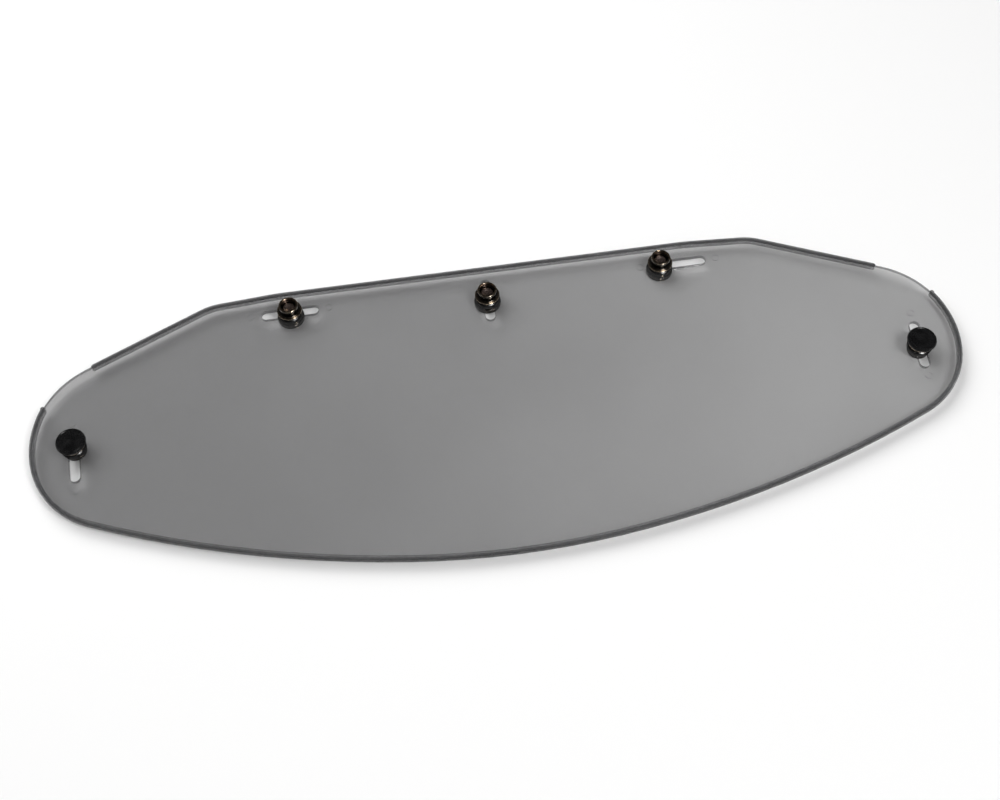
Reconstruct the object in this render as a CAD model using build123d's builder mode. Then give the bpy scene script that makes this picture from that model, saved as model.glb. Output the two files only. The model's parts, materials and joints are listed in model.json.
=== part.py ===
from build123d import *
import math
import os

# Flat five-snap wind screen for an open-face helmet, in millimetres.
# +X runs along the screen, +Y towards its straight upper edge, +Z outwards, away from the helmet.
# The origin is below the middle of the screen, on the surface that the five sockets stand on.

# Screen blank
sheet_thickness = 2.0
sheet_bottom = 3.6
sheet_top = sheet_bottom + sheet_thickness
edge_break = 0.25

# Half outline, walked from the middle of the lower edge to the middle of the upper edge:
# radius and swept angle of each tangent arc, and the two straights of the shoulder
lower_start_y = -80.54
lower_middle_radius, lower_middle_sweep = 407.0, 7.6
lower_side_radius, lower_side_sweep = 548.0, 15.8
lower_corner_radius, lower_corner_sweep = 45.6, 47.6
end_radius, end_sweep = 53.5, 37.5
upper_corner_radius, upper_corner_sweep = 42.0, 46.6
shoulder_length = 63.4
shoulder_corner_radius, shoulder_corner_sweep = 26.0, 20.9
facet_length = 25.7
brow_radius, brow_sweep = 99.0, 4.0

# Slots that the snaps slide in
slot_width = 5.0
upper_slot_length = 29.0
upper_slot_x = 100.0
upper_slot_y = 68.4
centre_slot_length = 25.0
centre_slot_y = 60.5
end_slot_length = 27.0
end_slot_x = 206.3
end_slot_y = 0.0
end_slot_lean = 4.5
dimple_diameter = 3.6
dimple_depth = 0.25
dimple_offset = 5.2

# Where each snap stands: distance along its slot from the slot's middle
left_snap_offset = 0.0
centre_snap_offset = 1.6
right_snap_offset = -9.4
left_end_offset = 6.1
right_end_offset = -0.3

# Edge trim, a U channel pushed over the edge
trim_wall = 0.55
trim_lip = 0.45
trim_grip = 1.6
trim_back_gap = 0.1
trim_edge_round = 0.2
lower_run_end = (222.6, 29.6)
lower_run_end_angle = 27.0
upper_run_end = (198.4, 51.0)
upper_run_end_angle = 64.5

# Snap stack, from the surface up
running_gap = 0.05
upper_socket_radius = 6.8
end_socket_radius = 5.3
socket_height = 3.0
socket_plate = 0.6
mouth_radius = 3.5
mouth_depth = 0.9
groove_radius = 4.6
spring_wire_radius = 0.35
spring_radius = 3.65
spring_opening = 60.0
inner_washer_radius = 5.9
inner_washer_thickness = 0.5
outer_washer_radius = 6.3
outer_washer_shoulder = 5.4
outer_washer_edge = 0.45
outer_washer_thickness = 1.1
bush_radius = slot_width / 2 - running_gap
post_radius = 1.9
post_bore_radius = 1.4
post_foot_radius = 3.0
post_foot_thickness = 0.5
post_head_radius = 3.0
post_head_rim = 0.7
post_head_dish = 0.45
collar_base = sheet_top + outer_washer_thickness + 2 * running_gap
collar_radius = 5.9
collar_rim_radius = 6.25
collar_rim_depth = 0.8
collar_wall = 0.8
collar_plate = 0.6
collar_top = 8.0

# Stud on top of an upper snap
stud_flange_radius = 5.5
stud_flange_thickness = 0.6
stud_neck_radius = 4.1
stud_lip_radius = 4.85
stud_lip_height = 1.5
stud_height = 4.1
stud_floor = 0.8
stud_mouth_radius = 3.9

# Cap on top of an end snap
cap_radius = 7.15
cap_skirt_radius = 6.7
cap_height = 2.8
cap_recess_radius = 5.55
cap_recess_depth = 0.9
cap_rim_height = 0.2
cap_dome_reach = 5.9
cap_dome_rise = 0.42

os.makedirs("parts", exist_ok=True)


def save(builder, label):
    """Name the finished piece and write it out."""
    builder.part.label = label
    export_step(builder.part, f"parts/{label}.step")


def half_outline():
    """Draw the right-hand half of the screen's outline and return its last point."""
    arcs = [
        (lower_middle_radius, lower_middle_sweep, 0),
        (lower_side_radius, lower_side_sweep, 0),
        (lower_corner_radius, lower_corner_sweep, 0),
        (end_radius, end_sweep, 0),
        (upper_corner_radius, upper_corner_sweep, shoulder_length),
        (shoulder_corner_radius, shoulder_corner_sweep, facet_length),
        (brow_radius, brow_sweep, 0),
    ]
    point = Vector(0, lower_start_y)
    heading = 0.0
    for radius, sweep, straight in arcs:
        tangent = Vector(1, 0).rotate(Axis.Z, heading)
        arc = JernArc(start=point, tangent=tangent, radius=radius, arc_size=sweep)
        point = arc @ 1
        heading += sweep
        if straight:
            tangent = Vector(1, 0).rotate(Axis.Z, heading)
            line = Line(point, point + tangent * straight)
            point = line @ 1
    Line(point, (0, point.Y))
    return point


def along_end_slot(side, distance):
    """Point at a distance up an end slot from its middle; the slots lean outwards at the top."""
    lean = math.radians(end_slot_lean)
    return (
        side * (end_slot_x + distance * math.sin(lean)),
        end_slot_y + distance * math.cos(lean),
    )


with BuildSketch() as blank:
    with BuildLine():
        half_outline()
        mirror(about=Plane.YZ)
    make_face()

# Transparent screen with its five slots and the shallow witness dimples beyond their ends
with BuildPart() as screen:
    with BuildSketch(Plane.XY.offset(sheet_bottom)):
        add(blank.sketch)
        for side in (-1, 1):
            with Locations((side * upper_slot_x, upper_slot_y)):
                SlotOverall(upper_slot_length, slot_width, mode=Mode.SUBTRACT)
            with Locations((side * end_slot_x, end_slot_y)):
                SlotOverall(
                    end_slot_length,
                    slot_width,
                    rotation=90 - side * end_slot_lean,
                    mode=Mode.SUBTRACT,
                )
        with Locations((0, centre_slot_y)):
            SlotOverall(centre_slot_length, slot_width, rotation=90, mode=Mode.SUBTRACT)
    extrude(amount=sheet_thickness)
    chamfer(screen.edges().group_by(Axis.Z)[-1], edge_break)
    with BuildSketch(Plane.XY.offset(sheet_top)):
        for side in (-1, 1):
            for end in (-1, 1):
                reach = end * (upper_slot_length / 2 + dimple_offset)
                with Locations((side * upper_slot_x + reach, upper_slot_y)):
                    Circle(dimple_diameter / 2)
                reach = end * (end_slot_length / 2 + dimple_offset)
                with Locations(along_end_slot(side, reach)):
                    Circle(dimple_diameter / 2)
    extrude(amount=-dimple_depth, mode=Mode.SUBTRACT)
save(screen, "screen")


def bare_corner(side):
    """Corners of the stretch of edge between the two trim runs at one upper corner."""
    reach = 9.0
    corners = []
    for point, angle, ends in (
        (lower_run_end, lower_run_end_angle, (-reach, reach)),
        (upper_run_end, upper_run_end_angle, (reach, -reach)),
    ):
        for distance in ends:
            x = point[0] + distance * math.cos(math.radians(angle))
            y = point[1] + distance * math.sin(math.radians(angle))
            corners.append((side * x, y))
    return corners


trim_outer = trim_back_gap + trim_wall
trim_width = trim_outer + trim_grip
trim_middle = trim_width / 2 - trim_outer


def rounded_end(side, end, angle):
    """Half-round end of a run, centred on the middle of the channel's width."""
    x = end[0] - trim_middle * math.cos(math.radians(angle))
    y = end[1] - trim_middle * math.sin(math.radians(angle))
    with Locations((side * x, y)):
        Circle(trim_width / 2)


def edge_trim(label, is_upper):
    """One run of U channel: a lip on each face of the sheet, joined by a wall outside its edge."""
    with BuildSketch() as lips:
        add(offset(blank.sketch, amount=trim_outer, mode=Mode.PRIVATE))
        add(offset(blank.sketch, amount=-trim_grip, mode=Mode.PRIVATE), mode=Mode.SUBTRACT)
        for side in (-1, 1):
            with BuildLine():
                Polyline(*bare_corner(side), close=True)
            make_face(mode=Mode.SUBTRACT)
        other_run = lips.faces().sort_by(Axis.Y)[0 if is_upper else -1]
        add(other_run, mode=Mode.SUBTRACT)
        for side in (-1, 1):
            if is_upper:
                rounded_end(side, upper_run_end, upper_run_end_angle)
            else:
                rounded_end(side, lower_run_end, lower_run_end_angle)
    with BuildPart() as trim:
        with BuildSketch(Plane.XY.offset(sheet_bottom - trim_lip)):
            add(lips.sketch)
        extrude(amount=sheet_thickness + 2 * trim_lip)
        with BuildSketch(Plane.XY.offset(sheet_bottom)):
            add(offset(blank.sketch, amount=trim_back_gap, mode=Mode.PRIVATE))
        extrude(amount=sheet_thickness, mode=Mode.SUBTRACT)
        fillet(trim.edges().group_by(Axis.Z)[-1], trim_edge_round)
        fillet(trim.edges().group_by(Axis.Z)[0], trim_edge_round)
    save(trim, label)


edge_trim("upper_edge_trim", True)
edge_trim("lower_edge_trim", False)


def upright(x, y):
    """Vertical plane through a snap's axis, for its turned profile."""
    return Plane(origin=(x, y, 0), x_dir=(1, 0, 0), z_dir=(0, -1, 0))


def turned(label, x, y, points, rounds=()):
    """Turn a profile of (radius, height) points about a snap's axis.

    rounds lists (index of the profile point, fillet radius).
    """
    with BuildPart() as piece:
        with BuildSketch(upright(x, y)) as profile:
            with BuildLine():
                Polyline(*points, close=True)
            make_face()
            for index, radius in rounds:
                corner = profile.vertices().sort_by_distance(points[index])[0]
                fillet(corner, radius)
        revolve(axis=Axis((x, y, 0), (0, 0, 1)))
    save(piece, label)


def inner_washer(label, x, y):
    """Flat fibre washer between the socket and the sheet, free on the bush."""
    bore = bush_radius + running_gap
    top = sheet_bottom - running_gap
    base = top - inner_washer_thickness
    points = [
        (bore, base),
        (inner_washer_radius, base),
        (inner_washer_radius, top),
        (bore, top),
    ]
    turned(label, x, y, points, rounds=[(1, 0.15), (2, 0.15)])


def outer_washer(label, x, y):
    """Broad moulded washer on the outer face, its top sloping down from the shoulder to the edge."""
    bore = bush_radius + running_gap
    base = sheet_top + running_gap
    top = base + outer_washer_thickness
    points = [
        (bore, base),
        (outer_washer_radius, base),
        (outer_washer_radius, base + outer_washer_edge),
        (outer_washer_shoulder, top),
        (bore, top),
    ]
    turned(label, x, y, points, rounds=[(1, 0.1), (2, 0.3), (3, 0.5)])


def socket(label, x, y, radius):
    """Female half of the snap: an open mouth below, a spring groove above it and a top plate."""
    bore = post_radius + running_gap
    ceiling = socket_height - socket_plate
    points = [
        (bore, socket_height),
        (radius, socket_height),
        (radius, 0),
        (mouth_radius, 0),
        (mouth_radius, mouth_depth),
        (groove_radius, mouth_depth),
        (groove_radius, ceiling),
        (bore, ceiling),
    ]
    turned(label, x, y, points, rounds=[(1, 0.5), (2, 0.8), (3, 0.15)])


def socket_spring(label, x, y):
    """Open ring of wire that lies on the ledge of the socket's groove."""
    height = mouth_depth + spring_wire_radius
    with BuildPart() as spring:
        with BuildLine(Plane((x, y, height))) as ring:
            CenterArc((0, 0), spring_radius, spring_opening / 2, 360 - spring_opening)
        wire_start = ring.line @ 0
        with BuildSketch(Plane(origin=wire_start, z_dir=ring.line % 0)):
            Circle(spring_wire_radius)
        sweep(path=ring.line)
    save(spring, label)


def bush(label, x, y):
    """Spacer tube that runs in the slot and keeps the stack from pinching the sheet."""
    bore = post_radius + running_gap
    top = collar_top - collar_plate
    points = [
        (bore, socket_height),
        (bush_radius, socket_height),
        (bush_radius, top),
        (bore, top),
    ]
    turned(label, x, y, points)


def collar(label, x, y):
    """Drawn ring, open below, that carries the stud or the cap clear of the outer washer."""
    bore = post_radius + running_gap
    inside = collar_radius - collar_wall
    ceiling = collar_top - collar_plate
    points = [
        (bore, collar_top),
        (collar_rim_radius, collar_top),
        (collar_rim_radius, collar_top - collar_rim_depth),
        (collar_radius, collar_base),
        (inside, collar_base),
        (inside, ceiling),
        (bore, ceiling),
    ]
    turned(label, x, y, points, rounds=[(1, 0.35), (2, 0.25)])


def headed_post(label, x, y):
    """Rivet of an upper snap: a dished head in the stud and a hollow shank spread below."""
    foot_top = socket_height - socket_plate
    foot = foot_top - post_foot_thickness
    seat = collar_top + stud_floor
    bore_end = seat - stud_floor
    points = [
        (0, bore_end),
        (post_bore_radius, bore_end),
        (post_bore_radius, foot),
        (post_foot_radius, foot),
        (post_foot_radius, foot_top),
        (post_radius, foot_top),
        (post_radius, seat),
        (post_head_radius, seat),
        (post_head_radius, seat + post_head_rim),
        (post_head_radius - 0.6, seat + post_head_rim),
        (1.2, seat + post_head_rim - post_head_dish),
        (0, seat + post_head_rim - post_head_dish),
    ]
    turned(label, x, y, points, rounds=[(3, 0.2), (8, 0.25), (9, 0.3), (10, 1.0)])


def capped_post(label, x, y):
    """Rivet of an end snap: a broad head held in the cap and a hollow shank spread below."""
    foot_top = socket_height - socket_plate
    foot = foot_top - post_foot_thickness
    head_top = collar_top + cap_recess_depth
    head_radius = cap_recess_radius - running_gap
    points = [
        (0, head_top),
        (head_radius, head_top),
        (head_radius, collar_top),
        (post_radius, collar_top),
        (post_radius, foot_top),
        (post_foot_radius, foot_top),
        (post_foot_radius, foot),
        (post_bore_radius, foot),
        (post_bore_radius, collar_top),
        (0, collar_top),
    ]
    turned(label, x, y, points, rounds=[(6, 0.2)])


def stud(label, x, y):
    """Male half on top of an upper snap: flange, waisted neck, rolled lip and a dished mouth."""
    base = collar_top
    top = base + stud_height
    bore = post_radius + running_gap
    points = [
        (bore, base),
        (stud_flange_radius, base),
        (stud_flange_radius, base + stud_flange_thickness),
        (stud_neck_radius, base + stud_flange_thickness + 0.2),
        (stud_neck_radius, top - stud_lip_height - 0.5),
        (stud_lip_radius, top - stud_lip_height),
        (stud_lip_radius, top),
        (stud_mouth_radius, top),
        (stud_mouth_radius - 0.5, base + stud_floor),
        (bore, base + stud_floor),
    ]
    turned(label, x, y, points, rounds=[(2, 0.25), (5, 0.2), (6, 0.4), (7, 0.3), (8, 0.6)])


def cap(label, x, y):
    """Moulded cap of an end snap: bulged edge, slight raised rim and a low dome inside it."""
    base = collar_top
    top = base + cap_height
    dip = top - cap_rim_height
    dome_radius = (cap_dome_reach**2 + cap_dome_rise**2) / (2 * cap_dome_rise)
    with BuildPart() as piece:
        with BuildSketch(upright(x, y)):
            with BuildLine():
                Line((0, base + cap_recess_depth), (cap_recess_radius, base + cap_recess_depth))
                Line((cap_recess_radius, base + cap_recess_depth), (cap_recess_radius, base))
                Line((cap_recess_radius, base), (cap_skirt_radius - 0.5, base))
                ThreePointArc(
                    (cap_skirt_radius - 0.5, base),
                    (cap_radius, base + 0.55 * cap_height),
                    (cap_radius - 0.55, top),
                )
                ThreePointArc(
                    (cap_radius - 0.55, top),
                    (cap_radius - 0.95, top + 0.03),
                    (cap_dome_reach, dip),
                )
                RadiusArc((cap_dome_reach, dip), (0, dip + cap_dome_rise), -dome_radius)
                Line((0, dip + cap_dome_rise), (0, base + cap_recess_depth))
            make_face()
        revolve(axis=Axis((x, y, 0), (0, 0, 1)))
    save(piece, label)


def sliding_stack(name, x, y, socket_radius):
    """Pieces that every snap has: socket, spring, washers, bush and collar."""
    socket(f"{name}_socket", x, y, socket_radius)
    socket_spring(f"{name}_socket_spring", x, y)
    inner_washer(f"{name}_inner_washer", x, y)
    outer_washer(f"{name}_outer_washer", x, y)
    bush(f"{name}_bush", x, y)
    collar(f"{name}_collar", x, y)


upper_snaps = {
    "upper_left": (-upper_slot_x + left_snap_offset, upper_slot_y),
    "upper_centre": (0, centre_slot_y + centre_snap_offset),
    "upper_right": (upper_slot_x + right_snap_offset, upper_slot_y),
}
for name, (x, y) in upper_snaps.items():
    sliding_stack(name, x, y, upper_socket_radius)
    headed_post(f"{name}_post", x, y)
    stud(f"{name}_stud", x, y)

end_snaps = {
    "left_end": along_end_slot(-1, left_end_offset),
    "right_end": along_end_slot(1, right_end_offset),
}
for name, (x, y) in end_snaps.items():
    sliding_stack(name, x, y, end_socket_radius)
    capped_post(f"{name}_post", x, y)
    cap(f"{name}_cap", x, y)
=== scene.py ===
"""Smoke-tinted helmet wind screen with five sliding snaps, lying on a white studio floor."""

import json
import math

import bpy
from mathutils import Matrix, Vector


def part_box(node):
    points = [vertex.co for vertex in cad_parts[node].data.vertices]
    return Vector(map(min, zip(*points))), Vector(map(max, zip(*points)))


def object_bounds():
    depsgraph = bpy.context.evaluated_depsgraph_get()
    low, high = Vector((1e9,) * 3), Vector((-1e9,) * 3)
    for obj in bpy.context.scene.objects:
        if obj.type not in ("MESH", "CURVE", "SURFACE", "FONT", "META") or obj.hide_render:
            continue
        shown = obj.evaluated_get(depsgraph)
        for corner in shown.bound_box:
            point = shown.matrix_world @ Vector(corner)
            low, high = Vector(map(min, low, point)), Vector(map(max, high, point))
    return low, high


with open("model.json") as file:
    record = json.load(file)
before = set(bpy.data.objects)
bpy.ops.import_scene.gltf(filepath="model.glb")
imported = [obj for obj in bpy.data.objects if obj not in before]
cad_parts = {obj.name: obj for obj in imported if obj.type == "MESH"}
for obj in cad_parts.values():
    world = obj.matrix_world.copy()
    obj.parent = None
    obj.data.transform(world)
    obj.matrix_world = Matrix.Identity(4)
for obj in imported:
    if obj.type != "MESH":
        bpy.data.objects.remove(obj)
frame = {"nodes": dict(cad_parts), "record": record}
cad_low, cad_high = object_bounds()
centre = (cad_low + cad_high) / 2
length = cad_high.x - cad_low.x

# Camera: where it looks, from which side, how far off, and how it is tilted
camera_target = Vector((-0.0025, 0.0004, 0.0048))
camera_azimuth = math.radians(-6.467)
camera_elevation = math.radians(57.87)
camera_roll = math.radians(-2.149)
camera_distance = 0.6177
camera_lens = 46.03
camera_sensor = 36.0

# Studio, with each lamp's azimuth, elevation and distance, its width and height, and its power
floor_size = 12.0
floor_white = (0.92, 0.92, 0.92, 1)
floor_paler = (0.93, 0.93, 0.93, 1)
backdrop_white = (1.0, 1.0, 1.0, 1)
room_light = (1.0, 0.99, 0.98, 1)
room_strength = 0.20
mirrored_strength = 0.06
key_place, key_size, key_power = (42, 55, 1.2), (0.40, 0.40), 5.5
sparkle_place, sparkle_size, sparkle_power = (30, 48, 1.2), (0.30, 0.30), 16.0
back_place, back_size, back_power = (-140, 48, 1.6), (2.0, 1.4), 28.0

# Sheet: light let through each face at its left and right ends, less at the left as painted shade,
# then edges, gloss and haze
sheet_pass_shaded_left = (0.686, 0.686, 0.688, 1)
sheet_pass_right = (0.797, 0.797, 0.798, 1)
sheet_edge_pass = (0.34, 0.34, 0.345, 1)
sheet_shade_reach = 0.57
sheet_shade_bend = 1.35
sheet_ior = 1.58
sheet_haze = (0.86, 0.86, 0.87, 1)
haze_least, haze_most = 0.016, 0.022

# Trim: light let through, colours of its level and upright faces, and how opaque they are
trim_pass = (0.85, 0.85, 0.855, 1)
trim_face = (0.110, 0.110, 0.113, 1)
trim_face_streak = (0.155, 0.155, 0.158, 1)
trim_side = (0.018, 0.018, 0.019, 1)
trim_side_opaque, trim_face_opaque = 0.70, 0.33

# Metals, with the depth in metres below the top of the stud and collar that is rubbed bare
nickel = (0.080, 0.073, 0.065, 1)
nickel_thin = (0.16, 0.135, 0.11, 1)
brass_worn = (0.46, 0.37, 0.27, 1)
post_nickel = (0.36, 0.28, 0.25, 1)
socket_nickel = (0.035, 0.033, 0.031, 1)
wire_dark = (0.50, 0.50, 0.51, 1)
wire_bright = (0.66, 0.66, 0.67, 1)
stud_rubbed, collar_rubbed, rubbed_blur = 0.0005, 0.0009, 0.00025

# Mouldings, fibre and nylon
moulding_black = (0.003, 0.003, 0.0033, 1)
moulding_dusty = (0.008, 0.008, 0.0084, 1)
fibre_black = (0.012, 0.012, 0.012, 1)
fibre_grey = (0.035, 0.034, 0.033, 1)
nylon = (0.62, 0.61, 0.57, 1)
nylon_pale = (0.74, 0.73, 0.69, 1)


class Shader:
    """Node tree of one new material, with short ways to add nodes and join them."""

    def __init__(self, name):
        self.material = bpy.data.materials.new(name)
        self.material.use_nodes = True
        self.tree = self.material.node_tree
        self.tree.nodes.clear()
        self.place = self.add("ShaderNodeTexCoord").outputs["Object"]

    def add(self, kind, inputs=None, **settings):
        """A node of that kind; inputs maps a socket's name or number to a value or a socket."""
        node = self.tree.nodes.new(kind)
        for key, value in settings.items():
            setattr(node, key, value)
        for key, value in (inputs or {}).items():
            if isinstance(value, bpy.types.NodeSocket):
                self.tree.links.new(value, node.inputs[key])
            else:
                node.inputs[key].default_value = value
        return node

    def show(self, shader):
        """The material, once the shader node is joined to its output."""
        output = self.add("ShaderNodeOutputMaterial")
        self.tree.links.new(shader.outputs[0], output.inputs["Surface"])
        return self.material

    def noise(self, scale, detail=3.0, roughness=0.55, stretch=None, turn=0.0):
        """Noise from 0 to 1 with features about 1/scale metres across, if asked drawn out to lines."""
        place = self.place
        if stretch:
            mapping = self.add("ShaderNodeMapping", {"Vector": place, "Scale": stretch})
            mapping.inputs["Rotation"].default_value = (0, 0, turn)
            place = mapping.outputs["Vector"]
        inputs = {"Vector": place, "Scale": scale, "Detail": detail, "Roughness": roughness}
        return self.add("ShaderNodeTexNoise", inputs).outputs["Fac"]

    def between(self, value, low, high, to_low=0.0, to_high=1.0):
        """value's stretch from low to high, mapped smoothly to to_low and to_high."""
        inputs = {"Value": value, 1: low, 2: high, 3: to_low, 4: to_high}
        node = self.add("ShaderNodeMapRange", inputs, interpolation_type="SMOOTHSTEP")
        return node.outputs["Result"]

    def maths(self, kind, first, second):
        """One arithmetic step on two numbers."""
        return self.add("ShaderNodeMath", {0: first, 1: second}, operation=kind).outputs[0]

    def colour(self, share, first, second):
        """first at share 0, second at share 1."""
        mix = self.add("ShaderNodeMix", {0: share, 6: first, 7: second}, data_type="RGBA")
        return mix.outputs[2]

    def bump(self, height, strength, distance):
        """Normal tilted by a height from 0 to 1, whose full relief is the distance in metres."""
        inputs = {"Height": height, "Strength": strength, "Distance": distance}
        return self.add("ShaderNodeBump", inputs).outputs["Normal"]

    def mixed(self, share, first, second):
        """Shader first at share 0, second at share 1."""
        return self.add("ShaderNodeMixShader", {0: share, 1: first.outputs[0], 2: second.outputs[0]})

    def flatness(self):
        """1 on faces that lie level, 0 on the upright faces of an edge."""
        normal = self.add("ShaderNodeTexCoord").outputs["Normal"]
        upward = self.add("ShaderNodeSeparateXYZ", {0: normal}).outputs["Z"]
        return self.between(self.maths("ABSOLUTE", upward, 0.0), 0.45, 0.95)

    def surface_gloss(self, ior):
        """Share of light mirrored at a clear sheet's face, the same from outside and inside."""
        inside = self.add("ShaderNodeNewGeometry").outputs["Backfacing"]
        facing = self.between(inside, 0.0, 1.0, ior, 1 / ior)
        return self.add("ShaderNodeFresnel", {"IOR": facing}).outputs[0]


def hairlines(shader, count, spacing):
    """Faint straight wipe marks in a few directions, from 0 to 1."""
    total = None
    for index in range(count):
        turn = math.radians(17 + 61 * index)
        fine = shader.noise(spacing, 2.0, 0.5, stretch=(0.03, 1, 1), turn=turn)
        line = shader.between(fine, 0.62, 0.70)
        patch = shader.between(shader.noise(9 + 4 * index, 2.0), 0.50, 0.62)
        mark = shader.maths("MULTIPLY", line, patch)
        total = mark if total is None else shader.maths("MAXIMUM", total, mark)
    return total


def smoke_sheet():
    """Clear smoke-tinted polycarbonate: see-through faces, dark edges, haze and wipe marks, and
    painted shade that darkens it towards its left end.
    """
    shader = Shader("smoke_sheet")
    cloud = shader.noise(11, 3.0)
    marks = hairlines(shader, 3, 900)
    # Painted shade: the faces let less light through towards the left end, standing in for light that
    # falls off towards the left.
    shade_along = shader.add("ShaderNodeSeparateXYZ", {0: shader.place}).outputs["X"]
    shade_along = shader.between(shade_along, -sheet_shade_reach * length, sheet_shade_reach * length)
    shade_along = shader.maths("ADD", shade_along, shader.between(cloud, 0.3, 0.7, -0.05, 0.05))
    shade_along = shader.maths("POWER", shade_along, sheet_shade_bend)
    face = shader.colour(shade_along, sheet_pass_shaded_left, sheet_pass_right)
    tint_and_painted_shade = shader.colour(shader.flatness(), sheet_edge_pass, face)
    clear = shader.add("ShaderNodeBsdfTransparent", {"Color": tint_and_painted_shade})
    haze = shader.add("ShaderNodeBsdfDiffuse", {"Color": sheet_haze})
    haze_share = shader.between(cloud, 0.3, 0.7, haze_least, haze_most)
    haze_share = shader.maths("ADD", haze_share, shader.maths("MULTIPLY", marks, 0.008))
    body = shader.mixed(haze_share, clear, haze)
    rough = shader.between(shader.noise(26, 4.0), 0.3, 0.7, 0.04, 0.085)
    rough = shader.maths("ADD", rough, shader.maths("MULTIPLY", marks, 0.10))
    normal = shader.bump(shader.noise(38, 2.0), 0.05, 0.0004)
    gloss = shader.add("ShaderNodeBsdfGlossy", {"Roughness": rough, "Normal": normal})
    return shader.show(shader.mixed(shader.surface_gloss(sheet_ior), body, gloss))


def smoke_trim():
    """Flexible smoke vinyl: satin, part see-through, darker where it is seen edgewise."""
    shader = Shader("smoke_trim")
    cloud = shader.noise(35, 4.0)
    streak = shader.noise(420, 3.0, 0.6)
    face = shader.colour(shader.between(cloud, 0.3, 0.7), trim_face, trim_face_streak)
    colour = shader.colour(shader.flatness(), trim_side, face)
    clear = shader.add("ShaderNodeBsdfTransparent", {"Color": trim_pass})
    rough = shader.between(streak, 0.3, 0.7, 0.26, 0.40)
    normal = shader.bump(streak, 0.25, 0.00008)
    inputs = {"Base Color": colour, "Roughness": rough, "Normal": normal, "IOR": 1.52}
    vinyl = shader.add("ShaderNodeBsdfPrincipled", inputs)
    opaque = shader.between(shader.flatness(), 0.0, 1.0, trim_side_opaque, trim_face_opaque)
    return shader.show(shader.mixed(opaque, clear, vinyl))


def plated(name, plate, worn_above, rough_low, rough_high):
    """Polished black nickel over brass, rubbed through to the brass above a height in metres."""
    shader = Shader(name)
    height = shader.add("ShaderNodeSeparateXYZ", {0: shader.place}).outputs["Z"]
    patch = shader.noise(900, 4.0, 0.65)
    rubbed = shader.between(height, worn_above - rubbed_blur, worn_above + rubbed_blur)
    rubbed = shader.maths("MULTIPLY", rubbed, shader.between(patch, 0.40, 0.62, 0.2, 1.0))
    base = shader.colour(shader.between(patch, 0.52, 0.70), plate, nickel_thin)
    colour = shader.colour(rubbed, base, brass_worn)
    turning = shader.noise(2600, 3.0, 0.6)
    rough = shader.between(turning, 0.3, 0.7, rough_low, rough_high)
    normal = shader.bump(turning, 0.12, 0.00003)
    inputs = {"Base Color": colour, "Metallic": 1.0, "Roughness": rough, "Normal": normal}
    return shader.show(shader.add("ShaderNodeBsdfPrincipled", inputs))


def moulded(name, dark, light, scale, rough_low, rough_high, relief, ior=1.5):
    """Moulded or pressed matter: mottled colour, uneven gloss and a fine grain."""
    shader = Shader(name)
    cloud = shader.noise(scale, 4.0)
    grain = shader.noise(scale * 8, 3.0, 0.6)
    colour = shader.colour(shader.between(cloud, 0.35, 0.7), dark, light)
    rough = shader.between(grain, 0.3, 0.7, rough_low, rough_high)
    normal = shader.bump(grain, 0.3, relief)
    inputs = {"Base Color": colour, "Roughness": rough, "Normal": normal, "IOR": ior}
    return shader.show(shader.add("ShaderNodeBsdfPrincipled", inputs))


def steel_wire():
    """Bright drawn spring wire."""
    shader = Shader("spring_wire")
    drawn = shader.noise(3000, 3.0)
    colour = shader.colour(drawn, wire_dark, wire_bright)
    rough = shader.between(drawn, 0.3, 0.7, 0.18, 0.32)
    inputs = {"Base Color": colour, "Metallic": 1.0, "Roughness": rough}
    return shader.show(shader.add("ShaderNodeBsdfPrincipled", inputs))


stud_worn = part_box("upper_left_stud")[1].z - stud_rubbed
collar_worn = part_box("upper_left_collar")[1].z - collar_rubbed
never_worn = cad_high.z + 0.01
materials = {
    "smoke_sheet": smoke_sheet(),
    "smoke_trim": smoke_trim(),
    "black_washer": moulded(
        "black_washer", moulding_black, moulding_dusty, 400, 0.16, 0.26, 0.00001, ior=1.38
    ),
    "fibre_washer": moulded("fibre_washer", fibre_black, fibre_grey, 700, 0.6, 0.85, 0.00004),
    "black_cap": moulded(
        "black_cap", moulding_black, moulding_dusty, 260, 0.22, 0.32, 0.00001, ior=1.35
    ),
    "clear_bush": moulded("clear_bush", nylon, nylon_pale, 300, 0.35, 0.5, 0.00002),
    "spring_wire": steel_wire(),
    "stud_metal": plated("stud_metal", nickel, stud_worn, 0.10, 0.20),
    "collar_metal": plated("collar_metal", nickel, collar_worn, 0.12, 0.22),
    "post_metal": plated("post_metal", post_nickel, never_worn, 0.20, 0.32),
    "socket_metal": plated("socket_metal", socket_nickel, never_worn, 0.16, 0.30),
}
for subpart in frame["record"]["subparts"]:
    piece = frame["nodes"][subpart["node"]]
    piece.data.materials.clear()
    piece.data.materials.append(materials[subpart["material_slot"]])


def studio_floor():
    """Wide white floor."""
    shader = Shader("studio_floor")
    paper = shader.noise(3, 2.0)
    colour = shader.colour(paper, floor_white, floor_paler)
    inputs = {"Base Color": colour, "Roughness": 0.9, "Specular IOR Level": 0.1}
    material = shader.show(shader.add("ShaderNodeBsdfPrincipled", inputs))
    bpy.ops.mesh.primitive_plane_add(size=floor_size, location=(0, 0, cad_low.z))
    floor = bpy.context.object
    floor.name = "studio_floor"
    floor.data.materials.append(material)


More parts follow.
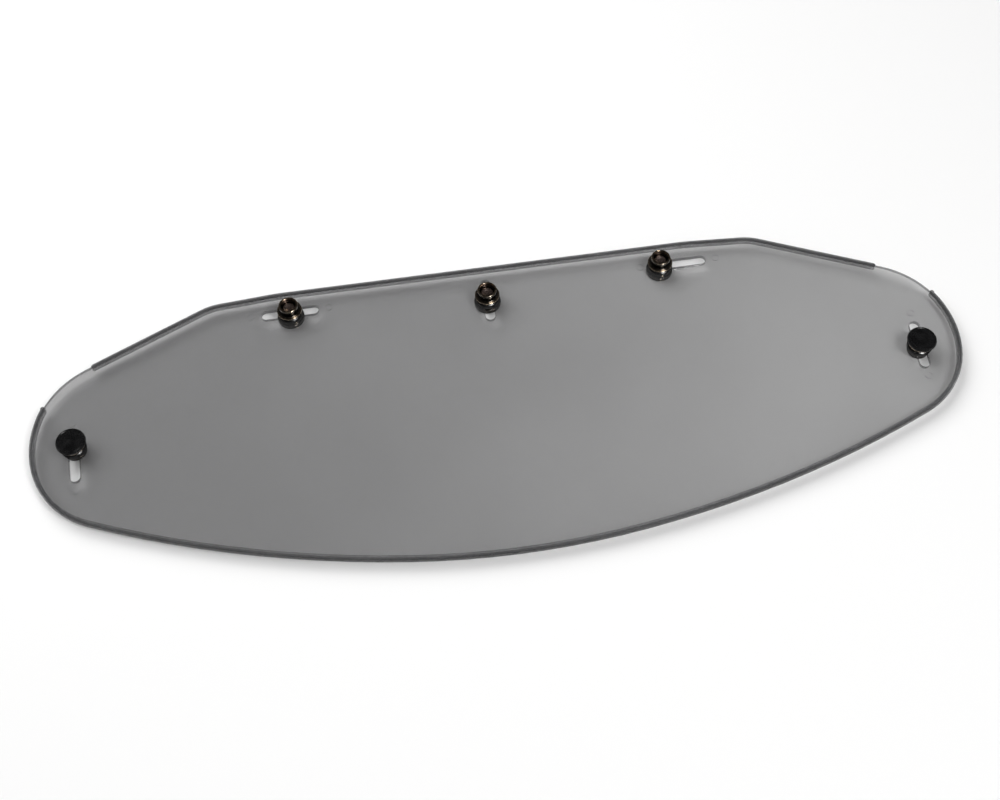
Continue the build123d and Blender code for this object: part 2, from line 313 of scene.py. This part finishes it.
def room():
    """Soft light from all sides, dimmer in mirrored views; the camera sees a white backdrop."""
    world = bpy.data.worlds.new("room")
    bpy.context.scene.world = world
    world.use_nodes = True
    tree = world.node_tree
    tree.nodes.clear()
    backgrounds = {}
    for use, colour, strength in (
        ("lit", room_light, room_strength),
        ("mirrored", room_light, mirrored_strength),
        ("seen", backdrop_white, 1.0),
    ):
        node = tree.nodes.new("ShaderNodeBackground")
        node.inputs["Color"].default_value = colour
        node.inputs["Strength"].default_value = strength
        backgrounds[use] = node.outputs[0]
    path = tree.nodes.new("ShaderNodeLightPath")
    glossy = tree.nodes.new("ShaderNodeMixShader")
    tree.links.new(path.outputs["Is Glossy Ray"], glossy.inputs[0])
    tree.links.new(backgrounds["lit"], glossy.inputs[1])
    tree.links.new(backgrounds["mirrored"], glossy.inputs[2])
    direct = tree.nodes.new("ShaderNodeMixShader")
    tree.links.new(path.outputs["Is Camera Ray"], direct.inputs[0])
    tree.links.new(glossy.outputs[0], direct.inputs[1])
    tree.links.new(backgrounds["seen"], direct.inputs[2])
    output = tree.nodes.new("ShaderNodeOutputWorld")
    tree.links.new(direct.outputs[0], output.inputs["Surface"])


def side(a, e):
    """Direction towards azimuth a, from the front at 0, and elevation e, both in radians."""
    return Vector((math.sin(a) * math.cos(e), -math.cos(a) * math.cos(e), math.sin(e)))


def softbox(name, place, size, power, lights=True, mirrored=True):
    """Rectangular lamp turned towards the object, for matt surfaces, for gloss or for both."""
    azimuth, elevation, distance = place
    lamp = bpy.data.lights.new(name, "AREA")
    lamp.shape = "RECTANGLE"
    lamp.size, lamp.size_y = size
    lamp.energy = power
    holder = bpy.data.objects.new(name, lamp)
    holder.location = centre + side(math.radians(azimuth), math.radians(elevation)) * distance
    holder.rotation_euler = (centre - holder.location).to_track_quat("-Z", "Y").to_euler()
    holder.visible_diffuse = lights
    holder.visible_glossy = mirrored
    bpy.context.scene.collection.objects.link(holder)


def camera():
    """Camera turned to its target and tilted about its line of sight."""
    back = side(camera_azimuth, camera_elevation)
    right = (-back).cross(Vector((0, 0, 1))).normalized()
    up = right.cross(-back)
    tilted_right = right * math.cos(camera_roll) + up * math.sin(camera_roll)
    tilted_up = up * math.cos(camera_roll) - right * math.sin(camera_roll)
    data = bpy.data.cameras.new("camera")
    data.lens = camera_lens
    data.sensor_width = camera_sensor
    data.clip_start = 0.01
    holder = bpy.data.objects.new("camera", data)
    turn = Matrix((tilted_right, tilted_up, back)).transposed().to_4x4()
    holder.matrix_world = Matrix.Translation(camera_target + back * camera_distance) @ turn
    bpy.context.scene.collection.objects.link(holder)
    bpy.context.scene.camera = holder


studio_floor()
room()
softbox("key", key_place, key_size, key_power)
softbox("sparkle", sparkle_place, sparkle_size, sparkle_power, lights=False)
softbox("back_light", back_place, back_size, back_power, mirrored=False)
camera()
bpy.context.scene.view_settings.view_transform = "Standard"
